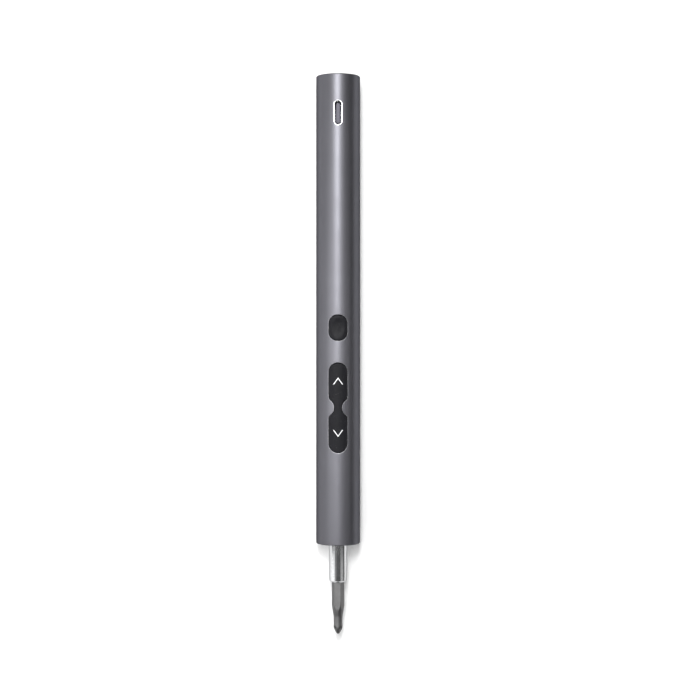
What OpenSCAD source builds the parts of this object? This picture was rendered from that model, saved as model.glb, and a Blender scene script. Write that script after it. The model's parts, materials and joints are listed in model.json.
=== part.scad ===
// Pen-form electric torque screwdriver, millimetres.
// Everything is drawn in the tool frame and set down by place():
//   tool z runs along the tool, 0 at the nose end of the barrel, growing towards the tail;
//   the bit sits at negative z; tool x is across; the buttons face tool -y.
// place() lays the tool on its side: tail towards +Y, buttons towards +Z, table at Z = 0.

/* [Barrel] */
// Outer diameter of the barrel tube, mm
barrel_d = 16; // [15.9:0.05:16.6]
// Length of the barrel tube, mm
barrel_len = 170; // [170:0.5:180]
// Wall thickness of the barrel tube, mm
wall = 0.9; // [0.6:0.05:0.9]
// Bevel on both ends of the barrel tube, mm
end_bevel = 0.3; // [0.2:0.05:0.6]

/* [Charging port] */
// Distance of the port's centre from the nose end, mm
port_z = 155.8; // [155:0.1:156.5]
// Width of the slot in the barrel, mm
port_w = 2.65; // [2.6:0.05:3.2]
// Length of the slot in the barrel, mm
port_l = 8.65; // [8.5:0.05:9.2]

/* [Buttons] */
// Distance of the oval mode button's centre from the nose end, mm
mode_z = 78.4; // [78:0.1:80]
// Width of the mode button, mm
mode_w = 6.4; // [5.6:0.1:6.6]
// Length of the mode button, mm
mode_l = 8.95; // [8:0.05:9.4]
// Corner radius of the mode button, mm
mode_r = 2.9; // [2:0.1:3]
// Distance of the up/down button's centre from the nose end, mm
rocker_z = 49.6; // [49.4:0.1:50]
// Gap between each button and its hole in the barrel, mm
button_gap = 0.25; // [0.15:0.05:0.35]
// How far each button's crown stands above the barrel, mm
button_proud = 0.17; // [0.1:0.01:0.2]

/* [Bit and holder] */
// Diameter of the bit holder's collar, mm
collar_d = 6.5; // [6.3:0.1:6.7]
// Length of the collar in front of the barrel, mm
collar_out = 14; // [12:0.5:15]
// Hexagon size of the bit across its flats, mm
bit_af = 4; // [3.9:0.05:4.1]
// Turn of the bit's hexagon about the tool's axis, degrees
bit_turn = 8; // [0:1:59]
// Clearance of the hexagon socket on each flat, mm
socket_ease = 0.05; // [0.03:0.01:0.08]

/* [Gearbox] */
// Thinning of every gear tooth flank for backlash, mm
flank_ease = 0.04; // [0.03:0.005:0.06]
// Radius of the carriers' planet pins, mm
pin_r = 0.52; // [0.45:0.01:0.55]
// Radial clearance of each planet on its pin, mm
pin_ease = 0.05; // [0.04:0.01:0.08]

/* [Motor] */
// Outer diameter of the motor, mm
motor_d = 10; // [9.8:0.1:10]

/* [Battery] */
// Diameter of the lithium cell, mm
cell_d = 10; // [9.6:0.1:10.1]
// Length of the lithium cell, mm
cell_len = 44; // [40:0.5:44]

/* [Hidden] */
$fn = 64;
e = 0.01;
br = barrel_d / 2;
bore_r = br - wall;
crown_r = br + button_proud;
cap_in = 6.1;
collar_r = collar_d / 2;
axis_h = br;
bit_len = 28;
bit_in = 9;
bit_back = -collar_out + bit_in;
bit_tip = bit_back - bit_len;
mid = (barrel_len + bit_tip) / 2;

// gear set, every stage alike: sun 12, planet 12, ring 36 teeth
gm = 0.3;
pa = 25;
n_sun = 12;
n_ring = 36;
g_add = 0.27;
g_ded = 0.36;
orbit = gm * n_sun;
z3 = 9.15;
z2 = 12.8;
z1 = 16.45;
face = 2.2;

mr = motor_d / 2;
mz = 20.2;
cell_y = 1.1;
cell_z = 94.2;
board_top = 4.2;
board_t = 0.8;
charge_top = 1.0;

// dark anodised aluminium
c_body = [0.28, 0.28, 0.30];
c_black = [0.10, 0.10, 0.11];
c_steel = [0.72, 0.73, 0.75];
c_bit = [0.50, 0.50, 0.51];
c_brass = [0.78, 0.62, 0.32];
c_copper = [0.72, 0.42, 0.24];
c_board = [0.10, 0.30, 0.20];
c_clear = [0.92, 0.94, 0.96];

module place() translate([0, -mid, axis_h]) rotate([-90, 0, 0]) children();

// a prism that rises from height h0 to h1 on the buttons' side; the profile's second coordinate lies along the tool
module up(h0, h1) translate([0, -h0, 0]) rotate([90, 0, 0]) linear_extrude(height = h1 - h0) children();

module tube(r0, r1, za, zb) translate([0, 0, za]) difference() {
    cylinder(r = r1, h = zb - za);
    translate([0, 0, -1]) cylinder(r = r0, h = zb - za + 2);
}

module disc(r, za, zb) translate([0, 0, za]) cylinder(r = r, h = zb - za);

module box(x0, x1, y0, y1, za, zb) translate([x0, y0, za]) cube([x1 - x0, y1 - y0, zb - za]);

// a straight round rod between two points, with round ends
module rod(p, q, r) {
    d = q - p;
    l = norm(d);
    translate(p) rotate([0, acos(d[2] / l), atan2(d[1], d[0])]) cylinder(r = r, h = l, $fn = 24);
}
module wire(pts, r) {
    for (i = [0 : len(pts) - 2]) rod(pts[i], pts[i + 1], r);
    for (i = [1 : len(pts) - 2]) translate(pts[i]) sphere(r = r + 0.05, $fn = 24);
}

// a slot with true round ends, standing on the buttons' side, long way along the tool
module stadium(w, l, h0, h1) {
    s = (l - w) / 2;
    for (k = [-1, 1]) translate([0, -h0, k * s]) rotate([90, 0, 0]) cylinder(r = w / 2, h = h1 - h0);
    box(-w / 2, w / 2, -h1, -h0, -s, s);
}

function arc(c, r, a0, a1, n) = [for (i = [0 : n]) let (a = a0 + (a1 - a0) * i / n) [c[0] + r * cos(a), c[1] + r * sin(a)]];
function tail_of(v) = [for (i = [1 : len(v) - 1]) v[i]];
function flip(v) = [for (i = [len(v) - 2 : -1 : 1]) [-v[i][0], v[i][1]]];

function oval(w, l, r, n = 12) = concat(
    arc([w / 2 - r, l / 2 - r], r, 0, 90, n),
    arc([r - w / 2, l / 2 - r], r, 90, 180, n),
    arc([r - w / 2, r - l / 2], r, 180, 270, n),
    arc([w / 2 - r, r - l / 2], r, 270, 360, n));

// half of the hourglass outline, grown outwards by d: round end, shoulder, waist, shoulder, round end
function half_glass(d) = concat(
    arc([0, 12.85], 3.2 + d, 90, 0, 14),
    arc([1.7, 4], 1.5 + d, 0, -53.13, 6),
    tail_of(arc([4.7, 0], 3.5 - d, 126.87, 233.13, 14)),
    tail_of(arc([1.7, -4], 1.5 + d, 53.13, 0, 6)),
    arc([0, -12.85], 3.2 + d, 0, -90, 14));
function glass(d) = let (h = half_glass(d)) concat(h, flip(h));

// involute teeth; t is half a tooth's angle at radius r, in degrees
function inv_deg(a) = tan(a) * 180 / PI - a;
function half_tooth(n, r, ease) = let (rp = gm * n / 2, rb = rp * cos(pa), rr = max(r, rb))
    90 / n - ease / rp * 180 / PI + inv_deg(pa) - inv_deg(acos(min(1, rb / rr)));
function teeth(n, r_in, r_out, ease) = let (rb = gm * n / 2 * cos(pa), r_mid = max(rb, r_in),
    radii = concat(r_in < rb - 0.02 ? [r_in] : [], [for (i = [0 : 4]) r_mid + (r_out - r_mid) * i / 4]))
    [for (k = [0 : n - 1]) let (a = k * 360 / n) each concat(
        [for (i = [0 : len(radii) - 1]) let (r = radii[i], b = a - half_tooth(n, r, ease)) [r * cos(b), r * sin(b)]],
        [for (i = [len(radii) - 1 : -1 : 0]) let (r = radii[i], b = a + half_tooth(n, r, ease)) [r * cos(b), r * sin(b)]])];

module gear(n, za, zb) translate([0, 0, za]) linear_extrude(height = zb - za)
    polygon(teeth(n, gm * n / 2 - g_ded, gm * n / 2 + g_add, flank_ease));

// ---------------------------------------------------------------- housing

// One-piece drawn tube; openings for the port and the two buttons.
module barrel_tube() color(c_body) place() difference() {
    rotate_extrude($fn = 96) polygon([[bore_r, 0], [br - end_bevel, 0], [br, end_bevel],
        [br, barrel_len - end_bevel], [br - end_bevel, barrel_len], [bore_r, barrel_len]]);
    translate([0, 0, port_z]) stadium(port_w, port_l, 5, 9);
    translate([0, 0, mode_z]) up(4, 9.5) polygon(oval(mode_w + 2 * button_gap, mode_l + 2 * button_gap, mode_r + button_gap));
    translate([0, 0, rocker_z]) up(4, 9.5) polygon(glass(button_gap));
}

// Front ring that closes the barrel and holds the light window.
module nose_ring() color(c_body) place() rotate_extrude() polygon([[5.6, 0.2], [bore_r - 0.35, 0.2],
    [bore_r - 0.05, 0.5], [bore_r - 0.05, 2.75], [6.25, 2.75], [6.25, 1.2], [5.6, 1.2]]);

// Ring-shaped window in front of the lamps.
module light_lens() color(c_clear) place() rotate_extrude() polygon([[3.5, 0.35], [5.5, 0.35],
    [5.5, 1.2], [6.15, 1.2], [6.15, 1.55], [3.5, 1.55]]);

module led_board() color(c_board) place() tube(3.6, 6.15, 2.1, 2.7);

// Four lamps around the bit holder.
module leds() color(c_clear) place() for (k = [0 : 3]) rotate([0, 0, 45 + 90 * k]) box(4.5, 5.3, -0.8, 0.8, 1.6, 2.1);

// Seat of the spindle's ball bearing.
module bearing_block() color(c_steel) place() rotate_extrude() polygon([[5.05, 2.8], [6.95, 2.8],
    [6.95, 7.15], [4.4, 7.15], [4.4, 5.75], [5.05, 5.75]]);

module race(r0, r1) difference() {
    tube(r0, r1, 3.2, 5.7);
    rotate_extrude() translate([4, 4.45]) circle(r = 0.64, $fn = 32);
}
module bearing_outer_race() color(c_steel) place() race(4.5, 5);

// Gearbox case with the internal teeth that all three stages share.
module ring_gear_case() color(c_brass) place() difference() {
    disc(6.95, 7.2, 18.95);
    translate([0, 0, 7.1]) linear_extrude(height = 12)
        polygon(teeth(n_ring, gm * n_ring / 2 - g_add, gm * n_ring / 2 + g_ded, -flank_ease));
}

module gearbox_rear_plate() color(c_steel) place() difference() {
    disc(6.95, 19, mz);
    disc(2.2, 18, 21);
    for (k = [-1, 1]) translate([3.3 * k, 0, 18.99]) {
        cylinder(r = 0.62, h = 2, $fn = 24);
        cylinder(r1 = 1.18, r2 = 0.62, h = 0.6, $fn = 24);
    }
}

// Two countersunk screws that hold the motor to the rear plate.
module gearbox_screws() color(c_steel) place() for (k = [-1, 1]) translate([3.3 * k, 0, 0]) difference() {
    union() {
        translate([0, 0, 19.03]) cylinder(r1 = 1.1, r2 = 0.55, h = 0.56, $fn = 24);
        translate([0, 0, 19.5]) cylinder(r = 0.55, h = 1.7, $fn = 24);
    }
    for (a = [0, 90]) rotate([0, 0, a]) translate([-0.7, -0.12, 18.9]) cube([1.4, 0.24, 0.35]);
}

// ---------------------------------------------------------------- motor, fixed side

module motor_can() color(c_steel) place() difference() {
    union() {
        disc(2, mz - 0.9, mz + 0.1);
        disc(mr, mz, mz + 13.6);
    }
    disc(1.5, mz - 2, mz + 2);
    disc(mr - 0.4, mz + 0.5, mz + 20);
    for (k = [-1, 1]) translate([3.3 * k, 0, mz - 1]) cylinder(r = 0.6, h = 2, $fn = 24);
}

module motor_magnets() color([0.20, 0.20, 0.22]) place() for (k = [0, 180]) rotate([0, 0, k + 20])
    translate([0, 0, mz + 1.7]) rotate_extrude(angle = 140) translate([3.75, 0]) square([mr - 0.45 - 3.75, 9.6]);

// Sintered bushes in the motor's front boss and in its end cap.
module motor_bushes() color(c_brass) place() {
    tube(0.8, 1.48, mz - 0.8, mz + 0.6);
    tube(0.8, 1.48, mz + 14.2, mz + 15.3);
}

module motor_end_cap() color(c_black) place() difference() {
    union() {
        disc(mr - 0.42, mz + 12.9, mz + 13.8);
        disc(mr, mz + 13.62, mz + 14.6);
        disc(2, mz + 14, mz + 15.4);
    }
    disc(1.5, mz + 14.1, mz + 20);
    disc(1.1, mz + 13.4, mz + 20);
    disc(mr - 1.2, mz + 12, mz + 13.6);
    for (k = [-1, 1]) box(2.65 * k - 0.2, 2.65 * k + 0.2, -0.7, 0.7, mz + 13, mz + 16);
}

// Carbon brushes on spring arms; each arm runs out through the end cap as a solder tag.
module motor_brushes() color(c_copper) place() for (k = [-1, 1]) scale([k, 1, 1]) {
    box(1.62, 2.55, -0.5, 0.5, mz + 12.1, mz + 12.9);
    box(2.55, 2.75, -0.5, 0.5, mz + 11.9, mz + 16.2);
}

// Soft sleeve that centres the motor in the barrel.
module motor_sleeve() color(c_black) place() tube(mr + 0.05, 6.95, mz + 0.2, mz + 11.6);

// ---------------------------------------------------------------- chassis and electronics

module tray_sector(r, za, zb) difference() {
    disc(r, za, zb);
    box(-9, 9, -9, -(board_top - board_t), za - 1, zb + 1);
}

// Moulded carrier for the boards and the cell; it slides in from the tail.
module chassis_tray() color(c_black) place() difference() {
    union() {
        difference() {
            tray_sector(6.95, 37.4, 166);
            disc(6.2, 36, 168);
        }
        intersection() {
            tray_sector(6.6, 37.4, 166);
            union() {
                for (z = [92.4, 139.2]) box(-7, 7, -4, 7, z, z + 0.9);
                for (k = [-1, 1]) {
                    box(5.25 * k - 0.7, 5.25 * k + 0.7, -(board_top - board_t), -2.6, 38.5, 92.5);
                    box(5.6 * k - 0.6, 5.6 * k + 0.6, -(charge_top - 0.8), 0.6, 145, 165.5);
                }
                for (p = [[70, board_top], [89, board_top], [163.4, charge_top]]) translate([0, 6.6, p[0]])
                    rotate([90, 0, 0]) cylinder(r = 1.5, h = 6.6 + p[1] - 0.8);
            }
        }
    }
    for (p = [[70, board_top], [89, board_top], [163.4, charge_top]]) translate([0, 3.4, p[0]])
        rotate([90, 0, 0]) cylinder(r = 0.65, h = 9.4, $fn = 24);
}

// Three screws that hold the boards to the tray.
module chassis_screws() color(c_steel) place() for (p = [[70, board_top], [89, board_top], [163.4, charge_top]])
    translate([0, 0, p[0]]) difference() {
        union() {
            translate([0, -p[1] + 4.2, 0]) rotate([90, 0, 0]) cylinder(r = 0.58, h = 4.4, $fn = 24);
            translate([0, -p[1], 0]) rotate([90, 0, 0]) cylinder(r = 1.15, h = 0.6, $fn = 24);
        }
        for (a = [0, 90]) rotate([0, a, 0]) box(-0.75, 0.75, -p[1] - 0.7, -p[1] - 0.3, -0.13, 0.13);
    }

module main_board() color(c_board) place() difference() {
    box(-5, 5, -board_top, -(board_top - board_t), 37.8, 91.9);
    for (z = [70, 89]) translate([0, 0, z]) rotate([90, 0, 0]) cylinder(r = 0.7, h = 9, $fn = 24);
}

// Controller and motor driver on top; choke, capacitors and torque-sensing parts below.
module board_chips() color(c_black) place() {
    box(-4.6, -1.6, -board_top - 0.8, -board_top, 68.4, 71.4);
    box(1.6, 4.6, -board_top - 0.8, -board_top, 68.4, 71.4);
    box(-1.5, 1.5, -board_top - 0.7, -board_top, 84.4, 86.4);
    box(-2, 2, -(board_top - board_t), -0.9, 44, 48);
    box(-2.5, 2.5, -(board_top - board_t), -2.3, 52, 57);
    box(-3.4, -1.4, -(board_top - board_t), -2.2, 60, 63.2);
    box(1.4, 3.4, -(board_top - board_t), -2.2, 60, 63.2);
    for (x = [-2, 2]) translate([x, -(board_top - board_t), 77]) rotate([-90, 0, 0]) cylinder(r = 1.6, h = 3, $fn = 32);
}

// Three tactile switches: one under the mode button and one under each end of the up/down button.
module tact_switches() color(c_steel) place() for (z = [mode_z, rocker_z - 10, rocker_z + 10]) translate([0, 0, z]) {
    box(-1.5, 1.5, -board_top - 0.8, -board_top, -1.5, 1.5);
    translate([0, -board_top - 0.8 + e, 0]) rotate([90, 0, 0]) cylinder(r = 0.7, h = 0.3 + e, $fn = 32);
}

// Fork on the board that carries the up/down button's pivot.
module pivot_bracket() color(c_steel) place() translate([0, 0, rocker_z]) difference() {
    union() {
        box(-2.3, 2.3, -board_top - 0.25, -board_top, -1, 1);
        for (k = [-1, 1]) box(1.95 * k - 0.35, 1.95 * k + 0.35, -5.55, -board_top, -1, 1);
    }
    translate([-4, -5, 0]) rotate([0, 90, 0]) cylinder(r = 0.42, h = 8, $fn = 32);
}

module battery_cell() color(c_steel) place() translate([0, cell_y, cell_z]) {
    cylinder(r = cell_d / 2, h = cell_len - 0.8);
    cylinder(r = 2, h = cell_len);
}

module battery_wrap() color([0.15, 0.35, 0.55]) place() translate([0, cell_y, cell_z]) difference() {
    translate([0, 0, 0.1]) cylinder(r = cell_d / 2 + 0.1, h = cell_len - 1);
    translate([0, 0, -1]) cylinder(r = cell_d / 2 + 0.005, h = cell_len + 2);
}

// Nickel strips welded to the cell's ends.
module battery_tabs() color(c_steel) place() {
    box(-1.5, 1.5, -4.7, 3, cell_z - 0.2, cell_z - 0.02);
    box(-1.5, 1.5, -4.7, 2.5, cell_z + cell_len + 0.02, cell_z + cell_len + 0.2);
}

// The cell's two leads, running back over the cell to the charging board.
module battery_leads() color([0.75, 0.10, 0.10]) place() {
    zr = cell_z + cell_len + 0.2;
    wire([[-0.8, -5.05, cell_z - 0.6], [-0.8, -5.3, cell_z + 1.4], [-0.8, -5.3, 142], [-2.4, -1.5, 147.4], [-2.4, -1.05, 147.4]], 0.38);
    wire([[0.8, -4.75, zr + 0.02], [0.8, -4.9, zr + 2], [0.8, -4.9, 142], [2, -1.5, 147.4], [2, -1.05, 147.4]], 0.38);
}

// Leads from the charging board to the main board, and from the main board to the motor.
module board_leads() color(c_black) place() for (k = [-1, 1]) {
    wire([[4.2 * k, -1.05, 148.4], [4.2 * k, -1.7, 148.4], [3 * k, -5, 143.4], [3 * k, -5, 90.4], [3 * k, -4.22, 90.4]], 0.38);
    wire([[2.65 * k, 0, mz + 16.6], [2.65 * k, -1.4, mz + 17.6], [2.65 * k, -2.6, 39.8], [2.65 * k, -3.38, 39.8]], 0.38);
}

module charge_board() color(c_board) place() difference() {
    box(-5.8, 5.8, -charge_top, -(charge_top - 0.8), 145.4, 165.4);
    translate([0, 0, 163.4]) rotate([90, 0, 0]) cylinder(r = 0.7, h = 9, $fn = 24);
}

module charge_chips() color(c_black) place() {
    box(2.4, 4.9, -charge_top - 0.8, -charge_top, 155, 158);
    box(-4.6, -2.6, -charge_top - 1.2, -charge_top, 154, 157);
    box(-1.5, 1.5, -0.2, 0.6, 149, 152);
    box(-2, 2, -0.2, 1.8, 154, 158);
}

// Upright charging receptacle: deep-drawn shell with round ends.
module usb_shell() color(c_steel) place() translate([0, 0, port_z]) difference() {
    stadium(3.16, 8.94, charge_top, 6.8);
    stadium(2.56, 8.34, charge_top + 0.5, 8);
}

module usb_tongue() color(c_black) place() translate([0, 0, port_z]) {
    stadium(2.4, 8.2, charge_top + 0.52, charge_top + 1.2);
    box(-0.35, 0.35, -6.3, -charge_top - 1, -3.35, 3.35);
}

module usb_contacts() color(c_brass) place() translate([0, 0, port_z])
    for (k = [-1, 1], i = [0 : 11]) box(0.39 * k - 0.03, 0.39 * k + 0.03, -5.9, -2.3, -2.75 + 0.5 * i - 0.13, -2.75 + 0.5 * i + 0.13);

// Plug that closes the tail end.
module tail_cap() color(c_body) place() translate([0, 0, barrel_len]) rotate_extrude() polygon([[0, -2.8], [bore_r - 0.05, -2.8],
    [bore_r - 0.05, -0.6], [bore_r - 0.35, -0.3], [0, -0.3]]);

// ---------------------------------------------------------------- spindle

// Collar, journal and spigot in one turned piece, with the hexagon socket in front.
module bit_holder() color(c_steel) place() difference() {
    rotate_extrude() polygon([[0, -collar_out], [collar_r - 0.45, -collar_out], [collar_r, -collar_out + 0.45], [collar_r, 2.8],
        [collar_r - 0.15, 3.15], [3, 3.15], [3, 5.8], [2.5, 5.8], [2.5, 6.25], [3, 6.25], [3, 7.9], [2, 7.9], [2, 8.9], [0, 8.9]]);
    rotate([0, 0, bit_turn]) translate([0, 0, -collar_out - 1]) cylinder(r = (bit_af / 2 + socket_ease) / cos(30), h = bit_in + 1.05, $fn = 6);
    translate([0, 0, -collar_out - e]) cylinder(r1 = bit_af / 2 + 0.75, r2 = bit_af / 2, h = 0.75);
    disc(1.65, bit_back - 1, bit_back + 2.6);
}

module bit_magnet() color([0.35, 0.35, 0.37]) place() disc(1.6, bit_back + 0.1, bit_back + 2.55);

module bearing_inner_race() color(c_steel) place() race(3.01, 3.5);

// Retaining clip behind the bearing.
module e_clip() color([0.2, 0.2, 0.22]) place() rotate([0, 0, 120]) translate([0, 0, 5.85]) rotate_extrude(angle = 300)
    translate([2.52, 0]) square([1.4, 0.35]);

module carrier(za, hub) {
    difference() {
        disc(4.9, za, za + 1);
        if (hub > 0) disc(hub, za - 1, za + 2);
    }
    for (k = [0 : 2]) rotate([0, 0, 120 * k]) translate([orbit, 0, za + 0.5]) cylinder(r = pin_r, h = 3, $fn = 32);
}

module output_carrier() color(c_steel) place() carrier(7.95, 2.02);

module ball_ring(r) for (k = [0 : 8]) rotate([0, 0, 40 * k]) translate([4, 0, 4.45]) sphere(r = r, $fn = 32);
module bearing_balls() color(c_steel) place() ball_ring(0.6);
module bearing_cage() color(c_brass) place() difference() {
    tube(3.75, 4.25, 3.6, 5.3);
    for (k = [0 : 8]) rotate([0, 0, 40 * k]) translate([3, 0, 4.45]) rotate([0, 90, 0]) cylinder(r = 0.68, h = 2, $fn = 32);
}

// ---------------------------------------------------------------- gear train, from the output back to the motor

// Each carrier's plate has the sun of the stage in front of it on one side and its own planet pins on the other.
module carrier_2() color(c_steel) place() {
    carrier(11.6, 0);
    rotate([0, 0, 15]) gear(n_sun, z3 + 0.1, 11.7);
}
module carrier_1() color(c_steel) place() {
    carrier(15.25, 0);
    rotate([0, 0, 15]) gear(n_sun, z2 + 0.1, 15.35);
}

module planet(k, z) color(c_steel) place() rotate([0, 0, 120 * k]) translate([orbit, 0, 0]) difference() {
    gear(n_sun, z, z + face);
    disc(pin_r + pin_ease, z - 1, z + face + 1);
}
module planet_3a() planet(0, z3);
module planet_3b() planet(1, z3);
module planet_3c() planet(2, z3);
module planet_2a() planet(0, z2);
module planet_2b() planet(1, z2);
module planet_2c() planet(2, z2);
module planet_1a() planet(0, z1);
module planet_1b() planet(1, z1);
module planet_1c() planet(2, z1);

// ---------------------------------------------------------------- rotor

module motor_pinion() color(c_brass) place() difference() {
    rotate([0, 0, 15]) gear(n_sun, z1 + 0.05, 18.85);
    disc(0.76, 0, 30);
}
module motor_shaft() color(c_steel) place() disc(0.75, z1 + 0.05, mz + 15.9);

module pole(w, za, zb) for (k = [0 : 2]) rotate([0, 0, 120 * k + 90]) box(0, 2.75, -w, w, za, zb);
module armature_core() color([0.45, 0.45, 0.47]) place() difference() {
    disc(3.4, mz + 2.6, mz + 10.4);
    disc(0.76, 0, 60);
    for (k = [0 : 2]) rotate([0, 0, 120 * k + 30]) translate([0, 0, mz + 2]) linear_extrude(height = 9) {
        polygon(concat(arc([0, 0], 1.3, -32.5, 32.5, 8), arc([0, 0], 2.7, 47.16, -47.16, 12)));
        translate([2.5, -0.45]) square([1.2, 0.9]);
    }
}
module armature_windings() color(c_copper) place() difference() {
    for (k = [0 : 2]) rotate([0, 0, 120 * k + 90]) translate([0, 0, mz + 1.9]) linear_extrude(height = 9.2)
        polygon([[1.4, -0.78], [2.3, -1.28], [2.58, -0.5], [2.58, 0.5], [2.3, 1.28], [1.4, 0.78]]);
    pole(0.62, mz + 2.58, mz + 10.42);
}
module commutator() color(c_copper) place() difference() {
    disc(1.5, mz + 11.3, mz + 13.1);
    disc(0.76, 0, 60);
    for (k = [0 : 2]) rotate([0, 0, 120 * k + 30]) box(1.1, 2, -0.09, 0.09, mz + 11, mz + 14);
}

// ---------------------------------------------------------------- bit and buttons

// Hexagon shank, a turned cone that scallops its corners, a slim neck and a cross-point tip with four flutes.
module bit() color(c_bit) place() difference() {
    rotate([0, 0, bit_turn]) intersection() {
        translate([0, 0, bit_tip]) cylinder(r = bit_af / 2 / cos(30), h = bit_len, $fn = 6);
        translate([0, 0, bit_tip]) rotate_extrude() polygon([[0, 0], [0.4, 0], [0.5, 0.15], [1.6, 2.45], [1.6, 6.4], [2.32, 10.5],
            [2.32, 27.7], [2.02, 28], [0, 28]]);
    }
    for (k = [0 : 3]) rotate([0, 0, bit_turn + 45 + 90 * k]) translate([0.2, 0, bit_tip]) {
        rotate([0, 8, 0]) rotate([0, 0, -45]) translate([0, 0, -1]) cube([4, 4, 3]);
        translate([0.28, 0, 1.98]) rotate([0, 45, 0]) rotate([0, 0, -45]) cube([4, 4, 3]);
    }
}

// A cap whose crown follows the barrel, with a flange that stays inside the barrel.
module cap_shell(r0, r1) intersection() {
    difference() {
        translate([0, 0, -20]) cylinder(r = r1, h = 40, $fn = 96);
        translate([0, 0, -21]) cylinder(r = r0, h = 42, $fn = 96);
    }
    children();
}

module mode_button() color(c_black) place() translate([0, 0, mode_z]) {
    difference() {
        cap_shell(cap_in, crown_r) up(3, 9) polygon(oval(mode_w, mode_l, mode_r));
        translate([0, -(crown_r + 20 - 0.25), 0]) sphere(r = 20, $fn = 96);
    }
    cap_shell(cap_in, 6.7) up(3, 9) polygon(oval(mode_w + 1.2, mode_l + 1.2, mode_r + 0.6));
    translate([0, -5.66, 0]) rotate([90, 0, 0]) cylinder(r = 0.9, h = 0.8, $fn = 32);
}

// Hourglass cap that rocks on a pin at its waist, with one nub over each switch.
module updown_button() color(c_black) place() translate([0, 0, rocker_z]) {
    cap_shell(cap_in, crown_r) up(3, 9) polygon(glass(0));
    cap_shell(cap_in, 6.7) up(3, 9) polygon(glass(0.6));
    for (k = [-10, 10]) translate([0, -5.5, k]) rotate([90, 0, 0]) cylinder(r = 0.9, h = 1, $fn = 32);
    box(-1.15, 1.15, -6.3, -4.7, -0.7, 0.7);
    translate([-2.4, -5, 0]) rotate([0, 90, 0]) cylinder(r = 0.36, h = 4.8, $fn = 32);
}

barrel_tube();
nose_ring();
light_lens();
led_board();
leds();
bearing_block();
bearing_outer_race();
ring_gear_case();
gearbox_rear_plate();
gearbox_screws();
motor_can();
motor_magnets();
motor_bushes();
motor_end_cap();
motor_brushes();
motor_sleeve();
chassis_tray();
chassis_screws();
main_board();
board_chips();
tact_switches();
pivot_bracket();
battery_cell();
battery_wrap();
battery_tabs();
battery_leads();
board_leads();
charge_board();
charge_chips();
usb_shell();
usb_tongue();
usb_contacts();
tail_cap();
bit_holder();
bit_magnet();
bearing_inner_race();
e_clip();
output_carrier();
bearing_balls();
bearing_cage();
carrier_2();
carrier_1();
planet_3a();
planet_3b();
planet_3c();
planet_2a();
planet_2b();
planet_2c();
planet_1a();
planet_1b();
planet_1c();
motor_pinion();
motor_shaft();
armature_core();
armature_windings();
commutator();
bit();
mode_button();
updown_button();
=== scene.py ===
import json
import math

import bpy
import numpy as np
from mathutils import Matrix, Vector
from mathutils.geometry import delaunay_2d_cdt


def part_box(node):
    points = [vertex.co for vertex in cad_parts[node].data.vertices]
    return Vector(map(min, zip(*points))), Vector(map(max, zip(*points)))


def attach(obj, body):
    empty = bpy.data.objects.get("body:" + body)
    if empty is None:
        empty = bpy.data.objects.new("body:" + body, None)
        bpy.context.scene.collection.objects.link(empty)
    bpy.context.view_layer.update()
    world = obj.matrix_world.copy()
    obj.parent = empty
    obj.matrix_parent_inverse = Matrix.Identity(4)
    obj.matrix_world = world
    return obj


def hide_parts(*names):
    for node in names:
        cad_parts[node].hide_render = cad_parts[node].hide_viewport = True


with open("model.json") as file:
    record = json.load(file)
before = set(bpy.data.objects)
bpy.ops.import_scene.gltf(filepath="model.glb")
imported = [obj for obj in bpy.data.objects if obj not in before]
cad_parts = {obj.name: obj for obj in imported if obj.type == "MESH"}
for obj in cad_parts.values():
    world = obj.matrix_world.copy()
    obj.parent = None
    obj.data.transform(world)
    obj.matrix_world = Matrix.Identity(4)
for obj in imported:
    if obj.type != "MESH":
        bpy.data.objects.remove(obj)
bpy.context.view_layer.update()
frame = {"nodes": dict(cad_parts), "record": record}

NODES = frame["nodes"]
PI = math.pi

# ------------------------------------------------------------------ sizes, most from the CAD boxes; the inner radius, the collar's radius and the bit's turn are given numbers
_lo, _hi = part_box("barrel_tube")
R = (_hi.x - _lo.x) / 2 * 1000          # barrel radius, mm
NOSE = _lo.y * 1000                     # row Y of the barrel's nose end
LEN = (_hi.y - _lo.y) * 1000
AXIS = _lo.z * 1000 + R                 # height of the tool's axis
_lo, _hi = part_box("chassis_tray")
R_IN = 7.1
_lo, _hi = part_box("mode_button")
MODE_Z = (_lo.y + _hi.y) / 2 * 1000 - NOSE
CROWN = _hi.z * 1000 - AXIS + 0.23      # crown radius of the caps
_lo, _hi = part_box("updown_button")
ROCK_Z = (_lo.y + _hi.y) / 2 * 1000 - NOSE
CROWN = _hi.z * 1000 - AXIS
_lo, _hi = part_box("usb_shell")
PORT_Z = (_lo.y + _hi.y) / 2 * 1000 - NOSE
SHELL_TOP = _hi.z * 1000 - AXIS
SHELL_LOW = _lo.z * 1000 - AXIS
_lo, _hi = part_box("bit")
TIP = _lo.y * 1000 - NOSE
BIT_BACK = _hi.y * 1000 - NOSE
_lo, _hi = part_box("bit_holder")
COLLAR_Z = _lo.y * 1000 - NOSE
COLLAR_R = (_hi.x - _lo.x) / 2 * 1000 if (_hi.x - _lo.x) < 0.0075 else 3.25
COLLAR_R = 3.25
TURN = math.radians(8)


def P(x, up, z):
    """Tool place (across, height over the axis, distance from the nose), mm, to the row frame, m."""
    return (x / 1000.0, (NOSE + z) / 1000.0, (AXIS + up) / 1000.0)


def D(x, up, z):
    """The same for a direction."""
    return (x, z, up)


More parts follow.
